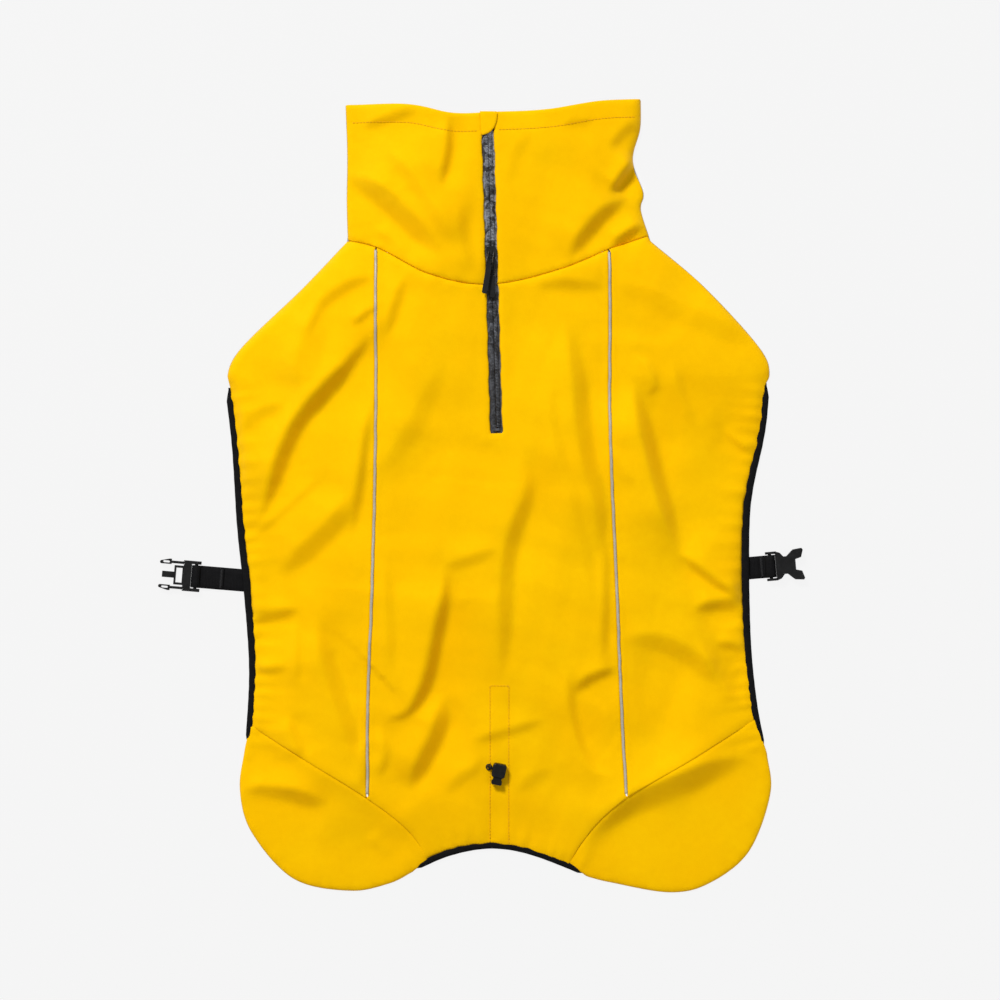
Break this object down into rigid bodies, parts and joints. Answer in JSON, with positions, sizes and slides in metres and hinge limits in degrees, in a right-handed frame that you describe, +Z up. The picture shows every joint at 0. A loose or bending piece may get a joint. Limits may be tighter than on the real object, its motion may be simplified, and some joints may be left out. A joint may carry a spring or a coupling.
{
  "type": "dog hardshell jacket",
  "caption": "Dog's hardshell jacket lying flat, back up: closed collar, two-way back zip, reflective piping, gathered rear corners, drawcord with lock, belly straps with a side-release buckle.",
  "frame": {"origin": "on the garment's centreline, on the surface it lies on, under the chest panel", "axes": "+Y from the tail hem to the collar, +X to the wearer's right, +Z up out of the back"},
  "size_m": [0.5705, 0.7001, 0.0284],
  "materials": {
    "shell_fabric": "yellow waterproof woven shell, fine plain weave, matt with a faint sheen",
    "reflective_piping": "silver-grey retroreflective tape rolled over a cord",
    "elastic_binding": "black folded stretch binding, ribbed knit",
    "zip_tape": "dark grey film-coated zip tape",
    "zip_coil": "grey coated nylon coil",
    "slider_metal": "black enamel on die-cast zinc",
    "grip_rubber": "black moulded soft plastic with ribs",
    "lining_fabric": "light grey backing of the shell",
    "elastic_cord": "black braided elastic cord",
    "eyelet_metal": "black lacquered brass eyelet",
    "spring_steel": "plain spring wire",
    "webbing": "black ribbed polyester webbing",
    "buckle_plastic": "black moulded acetal, fine satin texture"
  },
  "bodies": {
    "garment": {"back_panel": "shell_fabric", "chest_binding": "elastic_binding", "chest_panel": "shell_fabric", "collar_left": "shell_fabric", "collar_right": "shell_fabric", "collar_throat": "shell_fabric", "cord_eyelet": "eyelet_metal", "drawcord": "elastic_cord", "drawcord_tunnel": "lining_fabric", "hem_binding": "elastic_binding", "left_leg_elastic": "elastic_binding", "left_leg_flap": "shell_fabric", "left_piping": "reflective_piping", "left_side_binding": "elastic_binding", "left_side_panel": "shell_fabric", "left_strap_anchor": "webbing", "right_leg_elastic": "elastic_binding", "right_leg_flap": "shell_fabric", "right_piping": "reflective_piping", "right_side_binding": "elastic_binding", "right_side_panel": "shell_fabric", "right_strap_anchor": "webbing", "zip_bottom_stop": "zip_coil", "zip_coil_left": "zip_coil", "zip_coil_right": "zip_coil", "zip_garage": "shell_fabric", "zip_tape_left": "zip_tape", "zip_tape_right": "zip_tape", "zip_top_stops": "zip_coil"},
    "upper_slider": {"upper_slider": "slider_metal"},
    "lower_slider": {"lower_slider": "slider_metal"},
    "upper_pull_link": {"upper_pull_link": "slider_metal"},
    "lower_pull_link": {"lower_pull_link": "slider_metal"},
    "upper_pull_grip": {"upper_pull_grip": "grip_rubber"},
    "lower_pull_grip": {"lower_pull_grip": "grip_rubber"},
    "cord_lock": {"cord_lock_body": "buckle_plastic", "cord_loop": "elastic_cord", "cord_lock_spring": "spring_steel"},
    "cord_lock_button": {"cord_lock_button": "buckle_plastic"},
    "left_strap": {"left_strap": "webbing"},
    "right_strap": {"right_strap": "webbing"},
    "male_buckle": {"male_buckle": "buckle_plastic"},
    "front_latch_arm": {"front_latch_arm": "buckle_plastic"},
    "rear_latch_arm": {"rear_latch_arm": "buckle_plastic"},
    "female_buckle": {"female_buckle": "buckle_plastic"}
  },
  "joints": [
    {"name": "upper_slider_slide", "type": "slide", "parent": "garment", "child": "upper_slider", "axis": [-0.0286, 0.9996, 0], "range_m": [0, 0.096]},
    {"name": "lower_slider_slide", "type": "slide", "parent": "garment", "child": "lower_slider", "axis": [-0.0286, 0.9996, 0], "range_m": [-0.136, 0]},
    {"name": "upper_pull_lift", "type": "hinge", "parent": "upper_slider", "child": "upper_pull_link", "pos_m": [-0.00635, 0.21493, 0.0233], "axis": [-0.9867, 0.1626, 0], "range_deg": [0, 120]},
    {"name": "upper_grip_lift", "type": "hinge", "parent": "upper_pull_link", "child": "upper_pull_grip", "pos_m": [-0.00791, 0.20546, 0.0272], "axis": [-0.9867, 0.1626, 0], "range_deg": [0, 40]},
    {"name": "lower_pull_lift", "type": "hinge", "parent": "lower_slider", "child": "lower_pull_link", "pos_m": [-0.00604, 0.20414, 0.0233], "axis": [-0.9996, -0.0286, 0], "range_deg": [0, 120]},
    {"name": "lower_grip_lift", "type": "hinge", "parent": "lower_pull_link", "child": "lower_pull_grip", "pos_m": [-0.00579, 0.19554, 0.0233], "axis": [-0.9996, -0.0286, 0], "range_deg": [0, 40]},
    {"name": "cord_lock_swivel", "type": "hinge", "parent": "garment", "child": "cord_lock", "pos_m": [-0.00837, -0.23769, 0.01056], "axis": [0, -0.0754, 0.9972], "range_deg": [-15, 15]},
    {"name": "cord_lock_press", "type": "slide", "parent": "cord_lock", "child": "cord_lock_button", "axis": [0.2079, 0.9754, 0.0737], "range_m": [0, 0.002], "stiffness_N_per_m": 600, "springref_m": -0.001, "deforming": ["cord_lock_spring"]},
    {"name": "left_strap_fold", "type": "hinge", "parent": "garment", "child": "left_strap", "pos_m": [-0.2325, -0.073, 0.0007], "axis": [0.0837, 0.9965, 0], "range_deg": [-85, 80]},
    {"name": "right_strap_fold", "type": "hinge", "parent": "garment", "child": "right_strap", "pos_m": [0.2248, -0.0625, 0.0007], "axis": [0.0872, -0.9962, 0], "range_deg": [-85, 80]},
    {"name": "male_buckle_tilt", "type": "hinge", "parent": "left_strap", "child": "male_buckle", "pos_m": [-0.26718, -0.07009, 0.0033], "axis": [0.0837, 0.9965, 0], "range_deg": [-20, 20]},
    {"name": "female_buckle_tilt", "type": "hinge", "parent": "right_strap", "child": "female_buckle", "pos_m": [0.23994, -0.06118, 0.0033], "axis": [0.0872, -0.9962, 0], "range_deg": [-20, 20]},
    {"name": "front_latch_squeeze", "type": "hinge", "parent": "male_buckle", "child": "front_latch_arm", "pos_m": [-0.278, -0.05794, 0.0032], "axis": [0, 0, 1], "range_deg": [0, 8], "stiffness_Nm_per_rad": 0.3, "springref_deg": -1.15},
    {"name": "rear_latch_squeeze", "type": "hinge", "parent": "male_buckle", "child": "rear_latch_arm", "pos_m": [-0.27987, -0.08026, 0.0032], "axis": [0, 0, -1], "range_deg": [0, 8], "stiffness_Nm_per_rad": 0.3, "springref_deg": -1.15}
  ],
  "couplings": [
    {"joint": "lower_pull_lift", "follows": "upper_pull_lift", "ratio": 1},
    {"joint": "lower_grip_lift", "follows": "upper_grip_lift", "ratio": 1}
  ]
}
